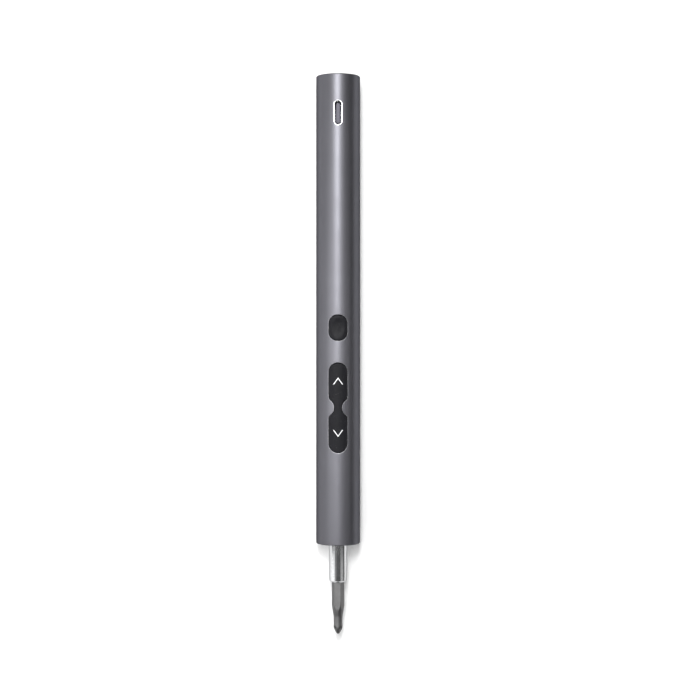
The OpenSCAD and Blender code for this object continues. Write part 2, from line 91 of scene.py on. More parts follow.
# ------------------------------------------------------------------ mesh building with exact corner normals
class Build:
    def __init__(self):
        self.verts, self.index, self.faces, self.normals, self.mats, self.wear_and_highlight = [], {}, [], [], [], {}

    def v(self, p, wear_and_highlight=0.0):
        key = (round(p[0] * 1e8), round(p[1] * 1e8), round(p[2] * 1e8))
        i = self.index.get(key)
        if i is None:
            i = self.index[key] = len(self.verts)
            self.verts.append(p)
        if wear_and_highlight:
            self.wear_and_highlight[i] = max(wear_and_highlight, self.wear_and_highlight.get(i, 0.0))
        return i

    def face(self, pts, nrm, mat=0, wear_and_highlight=0.0):
        ws = wear_and_highlight if isinstance(wear_and_highlight, (list, tuple)) else [wear_and_highlight] * len(pts)
        keep, kn = [], []
        for p, w, n in zip(pts, ws, nrm):
            i = self.v(p, w)
            if i not in keep:
                keep.append(i)
                kn.append(n)
        if len(keep) < 3:
            return
        ax, ay, az = self.verts[keep[0]]
        bx, by, bz = self.verts[keep[1]]
        cx, cy, cz = self.verts[keep[2]]
        dx, dy, dz = self.verts[keep[3]] if len(keep) > 3 else (bx, by, bz)
        # across the diagonals for a quad, along two sides for a triangle
        if len(keep) > 3:
            ux, uy, uz, vx, vy, vz = cx - ax, cy - ay, cz - az, dx - bx, dy - by, dz - bz
        else:
            ux, uy, uz, vx, vy, vz = bx - ax, by - ay, bz - az, cx - ax, cy - ay, cz - az
        gx, gy, gz = uy * vz - uz * vy, uz * vx - ux * vz, ux * vy - uy * vx
        if gx * sum(n[0] for n in kn) + gy * sum(n[1] for n in kn) + gz * sum(n[2] for n in kn) < 0:
            keep.reverse()
            kn.reverse()
        self.faces.append(keep)
        self.normals.append(kn)
        self.mats.append(mat)

    def strip(self, la, lb, na, nb, mat=0, closed=True, wa=0.0, wb=0.0):
        n = len(la)
        for i in range(n if closed else n - 1):
            j = (i + 1) % n
            self.face([la[i], la[j], lb[j], lb[i]], [na[i], na[j], nb[j], nb[i]], mat, [wa, wa, wb, wb])

    def obj(self, name, mats, body, replaces=()):
        me = bpy.data.meshes.new(name)
        me.from_pydata([Vector(v) for v in self.verts], [], self.faces)
        for m in mats:
            me.materials.append(m)
        me.polygons.foreach_set("material_index", self.mats)
        me.polygons.foreach_set("use_smooth", [True] * len(self.faces))
        at = me.attributes.new("wear_and_highlight", "FLOAT", "POINT")
        at.data.foreach_set("value", [self.wear_and_highlight.get(i, 0.0) for i in range(len(self.verts))])
        flat = [Vector(n).normalized() for f in self.normals for n in f]
        me.validate(clean_customdata=False)
        me.update()
        if len(me.loops) == len(flat):
            me.normals_split_custom_set(flat)
        else:
            print("NOTE", name, "lost faces in validation:", len(me.loops), len(flat))
        o = bpy.data.objects.new(name, me)
        bpy.context.scene.collection.objects.link(o)
        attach(o, body)
        if replaces:
            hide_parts(*replaces)
        return o


def seg_normals(prof):
    """Outward normals of each segment of a profile given as (r, z), traversed with the solid on its left."""
    out = []
    for (r0, z0), (r1, z1) in zip(prof[:-1], prof[1:]):
        dr, dz = r1 - r0, z1 - z0
        l = math.hypot(dr, dz) or 1.0
        out.append((dz / l, -dr / l))
    return out


def lathe(b, prof, n=128, mat=0, smooth=40.0, wear_and_highlight=None, turn=0.0):
    """A surface of revolution about the tool's axis. prof is (r, z) pairs; its outward side is to the right of its direction."""
    sn = seg_normals(prof)
    lim = math.cos(math.radians(smooth))
    for k in range(len(prof) - 1):
        (r0, z0), (r1, z1) = prof[k], prof[k + 1]
        n0 = n1 = sn[k]
        if k > 0 and sn[k - 1][0] * sn[k][0] + sn[k - 1][1] * sn[k][1] > lim:
            n0 = (sn[k - 1][0] + sn[k][0], sn[k - 1][1] + sn[k][1])
        if k + 2 < len(prof) and sn[k + 1][0] * sn[k][0] + sn[k + 1][1] * sn[k][1] > lim:
            n1 = (sn[k + 1][0] + sn[k][0], sn[k + 1][1] + sn[k][1])
        w0 = wear_and_highlight[k] if wear_and_highlight else 0.0
        w1 = wear_and_highlight[k + 1] if wear_and_highlight else 0.0
        for i in range(n):
            a0, a1 = 2 * PI * i / n + turn, 2 * PI * (i + 1) / n + turn
            q = [(r0, z0, n0, a0, w0), (r0, z0, n0, a1, w0), (r1, z1, n1, a1, w1), (r1, z1, n1, a0, w1)]
            b.face([P(r * math.sin(a), r * math.cos(a), z) for r, z, _, a, _ in q],
                   [D(m[0] * math.sin(a), m[0] * math.cos(a), m[1]) for _, _, m, a, _ in q], mat, [w for *_, w in q])


def rounded(prof, radius, steps=4):
    """Rounds the inner corners of an open (r, z) profile. radius is one number or one for each inner corner."""
    out = [prof[0]]
    for k in range(1, len(prof) - 1):
        rad = radius[k - 1] if isinstance(radius, (list, tuple)) else radius
        a, c, d = (np.array(prof[i], float) for i in (k - 1, k, k + 1))
        u, v = a - c, d - c
        lu, lv = np.linalg.norm(u), np.linalg.norm(v)
        if rad <= 0 or lu < 1e-9 or lv < 1e-9:
            out.append(tuple(c))
            continue
        u, v = u / lu, v / lv
        ang = math.acos(max(-1, min(1, float(u @ v))))
        t = min(rad / math.tan(ang / 2), lu * 0.49, lv * 0.49)
        rad = t * math.tan(ang / 2)
        cen = c + (u + v) / np.linalg.norm(u + v) * (rad / math.sin(ang / 2))
        p0, p1 = c + u * t, c + v * t
        a0 = math.atan2(*(p0 - cen)[::-1])
        a1 = math.atan2(*(p1 - cen)[::-1])
        da = (a1 - a0 + PI) % (2 * PI) - PI
        for s in range(steps + 1):
            q = a0 + da * s / steps
            out.append((cen[0] + rad * math.cos(q), cen[1] + rad * math.sin(q)))
    out.append(prof[-1])
    return out


# ------------------------------------------------------------------ outlines, (x, z) about a centre, anticlockwise
def arc(cx, cz, r, a0, a1, n):
    return [(cx + r * math.cos(math.radians(a0 + (a1 - a0) * i / n)), cz + r * math.sin(math.radians(a0 + (a1 - a0) * i / n))) for i in range(n + 1)]


def line(p, q, n):
    return [(p[0] + (q[0] - p[0]) * i / n, p[1] + (q[1] - p[1]) * i / n) for i in range(1, n)]


def oval(d, w=6.4, l=8.95, r=2.9, n=14):
    w, l, r = w + 2 * d, l + 2 * d, r + d
    a = [arc(w / 2 - r, l / 2 - r, r, 0, 90, n), arc(r - w / 2, l / 2 - r, r, 90, 180, n),
         arc(r - w / 2, r - l / 2, r, 180, 270, n), arc(w / 2 - r, r - l / 2, r, 270, 360, n)]
    m = [1, 4, 1, 4]
    out = []
    for k in range(4):
        out += a[k] + line(a[k][-1], a[(k + 1) % 4][0], m[k] + 1)
    return out


def stadium(d, w=2.65, l=8.65, n=20):
    r, s = w / 2 + d, (l - w) / 2
    top, low = arc(0, s, r, 0, 180, n), arc(0, -s, r, 180, 360, n)
    return top + line(top[-1], low[0], 12) + low + line(low[-1], top[0], 12)


def glass(d):
    """The hourglass outline, grown by d."""
    e1 = arc(0, 12.85, 3.2 + d, 90, 0, 22)
    s1 = arc(1.7, 4, 1.5 + d, 0, -53.13, 8)
    w = arc(4.7, 0, 3.5 - d, 126.87, 233.13, 22)[1:]
    s2 = arc(1.7, -4, 1.5 + d, 53.13, 0, 8)[1:]
    e2 = arc(0, -12.85, 3.2 + d, 0, -90, 22)
    half = e1 + line(e1[-1], s1[0], 14) + s1 + w + s2 + line(s2[-1], e2[0], 14) + e2
    left = [(-x, z) for x, z in reversed(half[1:-1])]
    out = half + left
    out.reverse()
    return out


def loop_normals(loop):
    """Outward unit normals of an anticlockwise closed loop."""
    q = np.array(loop)
    t = np.roll(q, -1, 0) - np.roll(q, 1, 0)
    n = np.stack([t[:, 1], -t[:, 0]], 1)
    return n / np.linalg.norm(n, axis=1)[:, None]


def inside(poly, pts):
    """Which points lie in a polygon."""
    x, y = pts[:, 0], pts[:, 1]
    res = np.zeros(len(pts), bool)
    q = np.array(poly)
    for (x0, y0), (x1, y1) in zip(q, np.roll(q, -1, 0)):
        if y0 == y1:
            continue
        hit = (y0 > y) != (y1 > y)
        res ^= hit & (x < (x1 - x0) * (y - y0) / (y1 - y0) + x0)
    return res


def near(poly, pts, d):
    """Which points lie within d of a polygon's edge points."""
    q = np.array(poly)
    q = np.concatenate([q, (q + np.roll(q, -1, 0)) / 2])
    res = np.zeros(len(pts), bool)
    for c in q:
        res |= ((pts - c) ** 2).sum(1) < d * d
    return res


def triangulate(outer, holes, grid):
    """Triangles that fill an outline with holes, through the grid points given. Returns (points, triangles)."""
    grid = np.array(grid)
    if len(grid):
        ok = inside(outer, grid) & ~near(outer, grid, 0.12)
        for h in holes:
            ok &= ~inside(h, grid) & ~near(h, grid, 0.12)
        grid = grid[ok]
    pts, edges = [], []
    for loop in [outer] + list(holes):
        s = len(pts)
        pts += [tuple(p) for p in loop]
        edges += [(s + i, s + (i + 1) % len(loop)) for i in range(len(loop))]
    pts += [tuple(p) for p in grid]
    v, _, f, *_ = delaunay_2d_cdt([Vector(p) for p in pts], edges, [], 0, 1e-7)
    v = np.array([tuple(p) for p in v])
    f = np.array([list(t) for t in f if len(t) == 3])
    c = v[f].mean(1)
    ok = inside(outer, c)
    for h in holes:
        ok &= ~inside(h, c)
    return v, f[ok]


# ------------------------------------------------------------------ materials
def nodes_of(name):
    m = bpy.data.materials.new(name)
    m.use_nodes = True
    t = m.node_tree
    for n in list(t.nodes):
        t.nodes.remove(n)
    out = t.nodes.new("ShaderNodeOutputMaterial")
    bs = t.nodes.new("ShaderNodeBsdfPrincipled")
    t.links.new(bs.outputs[0], out.inputs[0])
    return m, t, bs


def noise(t, co, scale, detail=3.0, rough=0.5, stretch=None):
    n = t.nodes.new("ShaderNodeTexNoise")
    n.inputs["Scale"].default_value = scale
    n.inputs["Detail"].default_value = detail
    n.inputs["Roughness"].default_value = rough
    if stretch:
        mp = t.nodes.new("ShaderNodeMapping")
        mp.inputs["Scale"].default_value = stretch
        t.links.new(co, mp.inputs[0])
        t.links.new(mp.outputs[0], n.inputs[0])
    else:
        t.links.new(co, n.inputs[0])
    return n


def ramp(t, src, lo, hi, a, b):
    r = t.nodes.new("ShaderNodeMapRange")
    for k, x in zip(("From Min", "From Max", "To Min", "To Max"), (lo, hi, a, b)):
        r.inputs[k].default_value = x
    t.links.new(src, r.inputs["Value"])
    return r.outputs[0]


def mix(t, fac, a, b):
    m = t.nodes.new("ShaderNodeMix")
    m.data_type = "RGBA"
    for k, x in (("A", a), ("B", b)):
        s = [i for i in m.inputs if i.name == k and i.type == "RGBA"][0]
        if isinstance(x, (tuple, list)):
            s.default_value = (*x, 1.0)
        else:
            t.links.new(x, s)
    f = [i for i in m.inputs if i.name == "Factor" and i.type == "VALUE"][0]
    if isinstance(fac, float):
        f.default_value = fac
    else:
        t.links.new(fac, f)
    return [o for o in m.outputs if o.type == "RGBA"][0]


def surface(name, base, rough, metal=0.0, vary=0.06, vary_scale=90.0, rough_vary=0.04, grain=6000.0, grain_um=2.0,
            grain_stretch=None, edge_wear_and_highlight_col=None, spec=0.5, coat=0.0, coat_rough=0.1, trans=0.0, ior=1.45, alpha=None,
            streak=0.0, dust=0.0, edge=None):
    """One procedural finish: soft colour variation, fine grain in the bump, uneven gloss, and lighter edges where the
    mesh says so: worn edges, and a painted highlight on the barrel's button-hole rims.
    """
    m, t, bs = nodes_of(name)
    co = t.nodes.new("ShaderNodeTexCoord").outputs["Object"]
    big = noise(t, co, vary_scale, 4.0, 0.55)
    dark = tuple(c * (1 - vary) for c in base)
    light = tuple(min(1.0, c * (1 + vary)) for c in base)
    col = mix(t, ramp(t, big.outputs[0], 0.3, 0.7, 0.0, 1.0), dark, light)
    fine = noise(t, co, grain, 2.0, 0.6, grain_stretch)
    if streak:
        st = noise(t, co, grain * 0.5, 3.0, 0.6, grain_stretch)
        col = mix(t, ramp(t, st.outputs[0], 0.35, 0.65, 0.0, streak), col, tuple(min(1.0, c * 1.5 + 0.01) for c in base))
    if dust:
        sp = noise(t, co, 1400.0, 2.0, 0.5)
        col = mix(t, ramp(t, sp.outputs[0], 0.66, 0.74, 0.0, dust), col, (0.5, 0.5, 0.5))
    if edge_wear_and_highlight_col:
        at = t.nodes.new("ShaderNodeAttribute")
        at.attribute_name = "wear_and_highlight"
        wn = noise(t, co, 1500.0, 4.0, 0.65)
        mu = t.nodes.new("ShaderNodeMath")
        mu.operation = "MULTIPLY"
        t.links.new(at.outputs["Fac"], mu.inputs[0])
        t.links.new(ramp(t, wn.outputs[0], 0.45, 0.62, 0.15, 0.85), mu.inputs[1])
        col = mix(t, mu.outputs[0], col, edge_wear_and_highlight_col)
    t.links.new(col, bs.inputs["Base Color"])
    rn = noise(t, co, vary_scale * 2.3, 3.0, 0.6)
    t.links.new(ramp(t, rn.outputs[0], 0.25, 0.75, max(0.02, rough - rough_vary), rough + rough_vary), bs.inputs["Roughness"])
    bp = t.nodes.new("ShaderNodeBump")
    bp.inputs["Strength"].default_value = 0.6
    bp.inputs["Distance"].default_value = grain_um * 1e-6
    t.links.new(fine.outputs[0], bp.inputs["Height"])
    t.links.new(bp.outputs[0], bs.inputs["Normal"])
    bs.inputs["Metallic"].default_value = metal
    bs.inputs["Specular IOR Level"].default_value = spec
    bs.inputs["IOR"].default_value = ior
    if edge is not None:
        bs.inputs["Specular Tint"].default_value = (edge, edge, edge, 1.0)
    if coat:
        bs.inputs["Coat Weight"].default_value = coat
        bs.inputs["Coat Roughness"].default_value = coat_rough
    if trans:
        bs.inputs["Transmission Weight"].default_value = trans
    if alpha is not None:
        bs.inputs["Alpha"].default_value = alpha
    return m


# the lighter edge colour is worn metal at the barrel's ends and a painted highlight on the button-hole rims
ANOD = surface("anodised_grey", (0.1295, 0.1288, 0.1428), 0.42, 1.0, vary=0.03, vary_scale=60, rough_vary=0.02, grain=7000, grain_um=1.6,
               edge_wear_and_highlight_col=(0.34, 0.34, 0.35), edge=0.3)
CUT = surface("bright_cut_aluminium", (0.80, 0.80, 0.82), 0.40, 1.0, vary=0.03, rough_vary=0.04, grain=5000, grain_um=1.0)
CAPM = surface("button_black", (0.0072, 0.0072, 0.0095), 0.50, 0.0, spec=0.16, vary=0.12, vary_scale=300, rough_vary=0.05, grain=4200, grain_um=7.0,
               edge_wear_and_highlight_col=(0.05, 0.05, 0.055), dust=0.03)
INK = surface("white_print", (0.86, 0.87, 0.88), 0.45, 0.0, vary=0.03, vary_scale=500, rough_vary=0.05, grain=6000, grain_um=2.0)
CHROME = surface("polished_steel", (0.60, 0.605, 0.615), 0.14, 1.0, edge=0.3, vary=0.02, rough_vary=0.03, grain=2500, grain_um=0.25,
                 grain_stretch=(1, 8, 1), edge_wear_and_highlight_col=(0.80, 0.80, 0.81))
BITM = surface("bit_grey", (0.165, 0.164, 0.164), 0.42, 1.0, vary=0.10, vary_scale=260, rough_vary=0.05, grain=5200, grain_um=5.0,
               edge_wear_and_highlight_col=(0.20, 0.20, 0.20), streak=0.10, edge=0.5)
LENS = surface("frosted_lens", (0.85, 0.88, 0.90), 0.35, 0.0, vary=0.02, rough_vary=0.05, grain=5000, grain_um=2.0, trans=0.75, ior=1.49)
LED = surface("lamp_cover", (0.90, 0.84, 0.55), 0.30, 0.0, vary=0.05, vary_scale=900)
PCB = surface("green_board", (0.014, 0.085, 0.040), 0.38, 0.0, vary=0.35, vary_scale=420, rough_vary=0.08, grain=900, grain_um=12.0, coat=0.3)
MACH = surface("machined_aluminium", (0.66, 0.67, 0.68), 0.32, 1.0, vary=0.04, grain=3000, grain_um=2.0, grain_stretch=(1, 12, 1), streak=0.15)
BEAR = surface("ground_steel", (0.60, 0.61, 0.62), 0.22, 1.0, vary=0.03, grain=3500, grain_um=1.0, grain_stretch=(1, 10, 1))
PLATE = surface("nickel_plate", (0.62, 0.62, 0.61), 0.26, 1.0, vary=0.05, vary_scale=200, grain=3000, grain_um=1.5, streak=0.08)
SCREW = surface("zinc_screw", (0.46, 0.47, 0.49), 0.34, 1.0, vary=0.08, vary_scale=700, grain=4000, grain_um=3.0)
SPRING = surface("blackened_steel", (0.055, 0.055, 0.060), 0.40, 1.0, vary=0.15, vary_scale=500, grain=3000, grain_um=3.0)
SINTER = surface("sintered_steel", (0.34, 0.34, 0.345), 0.42, 1.0, vary=0.12, vary_scale=600, rough_vary=0.08, grain=5200, grain_um=6.0, streak=0.12)
LAMIN = surface("laminated_steel", (0.30, 0.30, 0.31), 0.38, 1.0, vary=0.08, grain=900, grain_um=18.0, grain_stretch=(0.02, 4, 0.02))
BRASS = surface("brass", (0.72, 0.50, 0.20), 0.30, 1.0, vary=0.07, vary_scale=300, grain=3500, grain_um=2.0, grain_stretch=(1, 6, 1))
COPPER = surface("copper_wire", (0.62, 0.25, 0.12), 0.30, 1.0, vary=0.15, vary_scale=500, grain=1100, grain_um=40.0, grain_stretch=(3, 0.2, 3))
NICKEL = surface("nickel_strip", (0.62, 0.60, 0.56), 0.28, 1.0, vary=0.06, vary_scale=400, grain=2600, grain_um=3.0, grain_stretch=(8, 1, 1))
GOLD = surface("gold_plate", (0.86, 0.60, 0.22), 0.22, 1.0, vary=0.04, vary_scale=800)
MAGNET = surface("magnet_plate", (0.22, 0.22, 0.23), 0.24, 1.0, vary=0.08, vary_scale=350, grain=2500, grain_um=4.0)
BLACK = surface("moulded_black", (0.018, 0.018, 0.019), 0.50, 0.0, vary=0.20, vary_scale=260, rough_vary=0.08, grain=2600, grain_um=9.0)
TONGUE = surface("port_tongue", (0.095, 0.092, 0.122), 0.50, 0.0, vary=0.10, vary_scale=900, rough_vary=0.05, grain=4000, grain_um=4.0)
CHIP = surface("chip_black", (0.022, 0.022, 0.024), 0.46, 0.0, vary=0.25, vary_scale=800, rough_vary=0.06, grain=5200, grain_um=6.0)
SWITCH = surface("switch_cover", (0.30, 0.30, 0.30), 0.34, 0.8, vary=0.08, vary_scale=900, grain=3500, grain_um=3.0)
RUBBER = surface("soft_rubber", (0.028, 0.028, 0.030), 0.70, 0.0, vary=0.20, vary_scale=200, rough_vary=0.10, grain=2200, grain_um=14.0)
FILM = surface("wrap_film", (0.035, 0.13, 0.30), 0.22, 0.0, vary=0.08, vary_scale=150, rough_vary=0.06, grain=420, grain_um=40.0, coat=0.4)
RED = surface("lead_red", (0.42, 0.020, 0.016), 0.45, 0.0, vary=0.10, vary_scale=400, grain=2600, grain_um=5.0)
LEAD = surface("lead_black", (0.020, 0.020, 0.020), 0.48, 0.0, vary=0.15, vary_scale=400, grain=2600, grain_um=5.0)

BY_SLOT = {"anodised_aluminium": ANOD, "machined_aluminium": MACH, "clear_plastic": LENS, "circuit_board": PCB, "bearing_steel": BEAR,
           "polished_steel": CHROME, "plated_steel": PLATE, "screw_steel": SCREW, "spring_steel": SPRING, "sintered_steel": SINTER,
           "laminated_steel": LAMIN, "bit_steel": BITM, "brass": BRASS, "copper": COPPER, "nickel": NICKEL, "gold_plating": GOLD,
           "magnet": MAGNET, "black_plastic": BLACK, "chip_plastic": CHIP, "switch_plastic": SWITCH, "button_plastic": CAPM,
           "soft_rubber": RUBBER, "wrap_film": FILM, "lead_red": RED, "lead_black": LEAD}
for sp in frame["record"]["subparts"]:
    o = NODES.get(sp["node"])
    if o is not None and sp["material_slot"] in BY_SLOT:
        o.data.materials.clear()
        o.data.materials.append(LED if sp["node"] == "leds" else BY_SLOT[sp["material_slot"]])

# ------------------------------------------------------------------ barrel
HOLES = [(PORT_Z, lambda d: stadium(d), 0.25, 1), (MODE_Z, lambda d: oval(d + 0.25), 0.16, 0), (ROCK_Z, lambda d: glass(d + 0.25), 0.16, 0)]


def wrapped(loop, zc, rad):
    return [P(x, math.sqrt(rad * rad - x * x), z + zc) for x, z in loop]


def cyl_n(loop, rad):
    return [D(x / rad, math.sqrt(rad * rad - x * x) / rad, 0) for x, z in loop]


def barrel():
    b = Build()
    N = 192
    bev = 0.3

    def skin(rad, z0, z1, grown, out):
        """The cylinder's skin at one radius, cut open at each hole."""
        rows = set(np.round(np.arange(z0, z1 + 0.01, (z1 - z0) / 34), 4))
        for zc, f, _, _ in HOLES:
            q = np.array(f(0.6))
            rows |= set(np.round(np.arange(zc + q[:, 1].min() - 0.6, zc + q[:, 1].max() + 0.61, 0.42 if out else 2.0), 4))
        rows = sorted(rows)
        rows = [r for i, r in enumerate(rows) if i == 0 or r - rows[i - 1] > 0.12 or r in (z0, z1)]
        rows[0], rows[-1] = z0, z1
        us = [-PI * rad + 2 * PI * rad * i / N for i in range(N + 1)]
        outer = [(u, z0) for u in us] + [(us[-1], z) for z in rows[1:-1]] + [(u, z1) for u in reversed(us)] + [(us[0], z) for z in reversed(rows[1:-1])]
        holes = []
        for zc, f, width, _ in HOLES:
            loop = f(width if grown else 0.0)
            holes.append([(rad * math.asin(x / rad), z + zc) for x, z in loop])
        grid = [(u, z) for z in rows[1:-1] for u in us[1:-1]]
        v, f = triangulate(outer, holes, grid)
        th = v[:, 0] / rad
        s = 1 if out else -1
        pts = [P(rad * math.sin(a), rad * math.cos(a), z) for a, z in zip(th, v[:, 1])]
        nrm = [D(s * math.sin(a), s * math.cos(a), 0) for a in th]
        for t in f:
            b.face([pts[i] for i in t], [nrm[i] for i in t], 0)

    skin(R, bev, LEN - bev, True, True)
    skin(R_IN, 0.0, LEN, False, False)
    for zc, f, width, bright in HOLES:
        loops = []
        if bright:      # a shallow bright-cut chamfer with softened edges
            steps = [(width, 0.0, 0), (width - 0.02, 0.003, 8), (width - 0.04, 0.008, 12), (0.04, 0.055, 14), (0.012, 0.075, 50), (0.0, 0.11, 90)]
        else:           # a small round edge
            steps = [(width, 0.0, 0), (width * 0.9, 0.004, 8), (width * 0.3, 0.03, 16), (width * 0.1, 0.05, 45), (0.0, 0.09, 90)]
        for d, drop, ang in steps:
            lp = f(d)
            n2 = -loop_normals(lp)
            rad = R - drop
            cn = cyl_n(lp, rad)
            ca, sa = math.cos(math.radians(ang)), math.sin(math.radians(ang))
            nn = [(ca * c[0] + sa * m[0], ca * c[1] + sa * m[1], ca * c[2]) for c, m in zip(cn, n2)]
            loops.append((wrapped(lp, zc, rad), nn))
        for k in range(len(loops) - 1):
            mat = 1 if bright and 1 <= k <= 3 else 0
            # button-hole rims get the full edge weight: a painted highlight, lighter all round the rim
            w = 0.0 if bright else 1.0
            b.strip(loops[k][0], loops[k + 1][0], loops[k][1], loops[k + 1][1], mat, wa=w if k else 0.0, wb=w if k < len(loops) - 2 else 0.0)
        lp = f(0.0)
        n2 = [D(m[0], 0, m[1]) for m in -loop_normals(lp)]
        r_top = R - steps[-1][1]
        for k in range(4):
            ra, rb = r_top + (R_IN - r_top) * k / 4, r_top + (R_IN - r_top) * (k + 1) / 4
            b.strip(wrapped(lp, zc, ra), wrapped(lp, zc, rb), n2, n2, 0)
    for end in (0, 1):
        prof = rounded([(R_IN, 0.0), (R - bev, 0.0), (R, bev), (R, bev + 0.3)], [0.08, 0.12], 3)[:-1]
        prof = [p for p in prof if p[1] <= bev + 1e-9]
        prof.append((R, bev))
        if end:
            prof = [(r, LEN - z) for r, z in reversed(prof)]
        wear_and_highlight = [0.0 if (r < R_IN + 0.1 or abs(r - R) < 1e-6) else 0.25 for r, z in prof]
        lathe(b, prof, N, 0, 50, wear_and_highlight, turn=PI)
    return b.obj("barrel_skin", [ANOD, CUT], "housing", ["barrel_tube"])


barrel()

# ------------------------------------------------------------------ buttons
def cap(name, outline, zc, body, node, dish=None, extra=None):
    b = Build()

    def top_up(x, z):
        u = math.sqrt(CROWN * CROWN - x * x)
        return u - (dish(x, z) if dish else 0.0)

    def top_n(x, z):
        e = 1e-3
        gx = (top_up(x + e, z) - top_up(x - e, z)) / (2 * e)
        gz = (top_up(x, z + e) - top_up(x, z - e)) / (2 * e)
        return D(-gx, 1.0, -gz)

    edge = 0.30
    steps = [(-edge * (1 - math.sin(math.radians(a))), edge * (1 - math.cos(math.radians(a))), a) for a in (0, 15, 30, 45, 60, 75, 90)]
    loops = []
    for d, drop, ang in steps:
        lp = outline(d)
        n2 = loop_normals(lp)
        ca, sa = math.cos(math.radians(ang)), math.sin(math.radians(ang))
        tn = [top_n(x, z) for x, z in lp]
        nn = [(ca * t[0] + sa * m[0], ca * t[1] + sa * m[1], ca * t[2]) for t, m in zip(tn, n2)]
        loops.append(([P(x, top_up(x, z) - drop, z + zc) for x, z in lp], nn))
    for k in range(len(loops) - 1):
        b.strip(loops[k][0], loops[k + 1][0], loops[k][1], loops[k + 1][1], 0, wa=0.5 if k > 1 else 0.0, wb=0.5 if k < 4 else 0.0)
    inner = outline(-edge)
    q = np.array(inner)
    grid = [(x, z) for x in np.arange(q[:, 0].min(), q[:, 0].max(), 0.22) for z in np.arange(q[:, 1].min(), q[:, 1].max(), 0.22)]
    v, f = triangulate(inner, [], grid)
    for t in f:
        b.face([P(v[i][0], top_up(*v[i]), v[i][1] + zc) for i in t], [top_n(*v[i]) for i in t], 0)
    # side, flange inside the barrel, and underside
    side = outline(0.0)
    n2 = [D(m[0], 0, m[1]) for m in loop_normals(side)]
    flange = outline(0.6)
    n3 = [D(m[0], 0, m[1]) for m in loop_normals(flange)]
    r_f, r_u = 6.7, 6.1
    up_n, dn = [D(0, 1, 0)] * len(side), [D(0, -1, 0)] * len(side)
    b.strip(loops[-1][0], wrapped(side, zc, r_f), n2, n2, 0)
    b.strip(wrapped(side, zc, r_f), wrapped(flange, zc, r_f), up_n, up_n, 0)
    b.strip(wrapped(flange, zc, r_f), wrapped(flange, zc, r_u), n3, n3, 0)
    q = np.array(flange)
    grid = [(x, z) for x in np.arange(q[:, 0].min(), q[:, 0].max(), 0.6) for z in np.arange(q[:, 1].min(), q[:, 1].max(), 1.2)]
    v, f = triangulate(flange, [], grid)
    for t in f:
        b.face([P(v[i][0], math.sqrt(r_u ** 2 - v[i][0] ** 2), v[i][1] + zc) for i in t], [D(0, -1, 0)] * 3, 0)

    def peg(x0, z0, rad, ua, ub, n=24):
        """A closed upright peg under the cap."""
        ring = [(x0 + rad * math.cos(2 * PI * i / n), z0 + rad * math.sin(2 * PI * i / n)) for i in range(n)]
        nn = [D(math.cos(2 * PI * i / n), 0, math.sin(2 * PI * i / n)) for i in range(n)]
        lo_, hi_ = [P(x, ua, z + zc) for x, z in ring], [P(x, ub, z + zc) for x, z in ring]
        b.strip(lo_, hi_, nn, nn, 0)
        for lp, up, s in ((lo_, ua, -1), (hi_, ub, 1)):
            c = P(x0, up, z0 + zc)
            for i in range(n):
                b.face([lp[i], lp[(i + 1) % n], c], [D(0, s, 0)] * 3, 0)

    if extra:
        extra(b, peg)
    return b.obj(name, [CAPM], body, [node])


def dish(x, z):
    q = 1 - (x / 2.55) ** 2 - (z / 3.75) ** 2
    return 0.30 * q * q * (3 - 2 * q) if q > 0 else 0.0


def mode_under(b, peg):
    peg(0, 0, 0.9, 5.66, 6.4)


def rock_under(b, peg):
    for k in (-10, 10):
        peg(0, k, 0.9, 5.5, 6.4)


cap("mode_cap", lambda d: oval(d), MODE_Z, "mode_button", "mode_button", dish, mode_under)
cap("updown_cap", lambda d: glass(d), ROCK_Z, "updown_button", "updown_button", None, rock_under)


def chevron(name, z_apex, z_feet):
    """A printed arrow head, a thin layer of ink on the crown, its feet cut square to the tool."""
    b = Build()
    w, h = 1.8, abs(z_apex - z_feet)
    s = 1 if z_apex > z_feet else -1
    l = math.hypot(w, h)
    tx, tz = 0.29 * l / h, 0.29 * l / w
    left = [(-w, 0), (0, h), (0, h - tz), (-w + tx, 0)]
    n = 14
    th = 0.012

    def up(x, lift):
        return math.sqrt(CROWN * CROWN - x * x) + lift

    def nrm(x):
        return D(x / CROWN, math.sqrt(CROWN * CROWN - x * x) / CROWN, 0)

    for side in (-1, 1):
        outer = [(side * (w - w * i / n), h * i / n) for i in range(n + 1)]
        innr = [(side * ((w - tx) - (w - tx) * i / n), (h - tz) * i / n) for i in range(n + 1)]
        for i in range(n):
            q = [outer[i], outer[i + 1], innr[i + 1], innr[i]]
            b.face([P(x, up(x, th), z_feet + s * z) for x, z in q], [nrm(x) for x, z in q])
            b.face([P(x, up(x, -th), z_feet + s * z) for x, z in q], [tuple(-c for c in nrm(x)) for x, z in q])
        dx, dz = h / l * side, w / l * s
        for lp, sg in ((outer, 1), (innr, -1)):
            for i in range(n):
                q = [(lp[i], th), (lp[i + 1], th), (lp[i + 1], -th), (lp[i], -th)]
                b.face([P(p[0], up(p[0], t_), z_feet + s * p[1]) for p, t_ in q], [D(sg * dx, 0, sg * dz)] * 4)
        q = [(outer[0], th), (innr[0], th), (innr[0], -th), (outer[0], -th)]
        b.face([P(p[0], up(p[0], t_), z_feet + s * p[1]) for p, t_ in q], [D(0, 0, -s)] * 4)
    return b.obj(name, [INK], "updown_button", ())


chevron("arrow_up", ROCK_Z + 10.95, ROCK_Z + 8.45)
chevron("arrow_down", ROCK_Z - 10.45, ROCK_Z - 7.95)

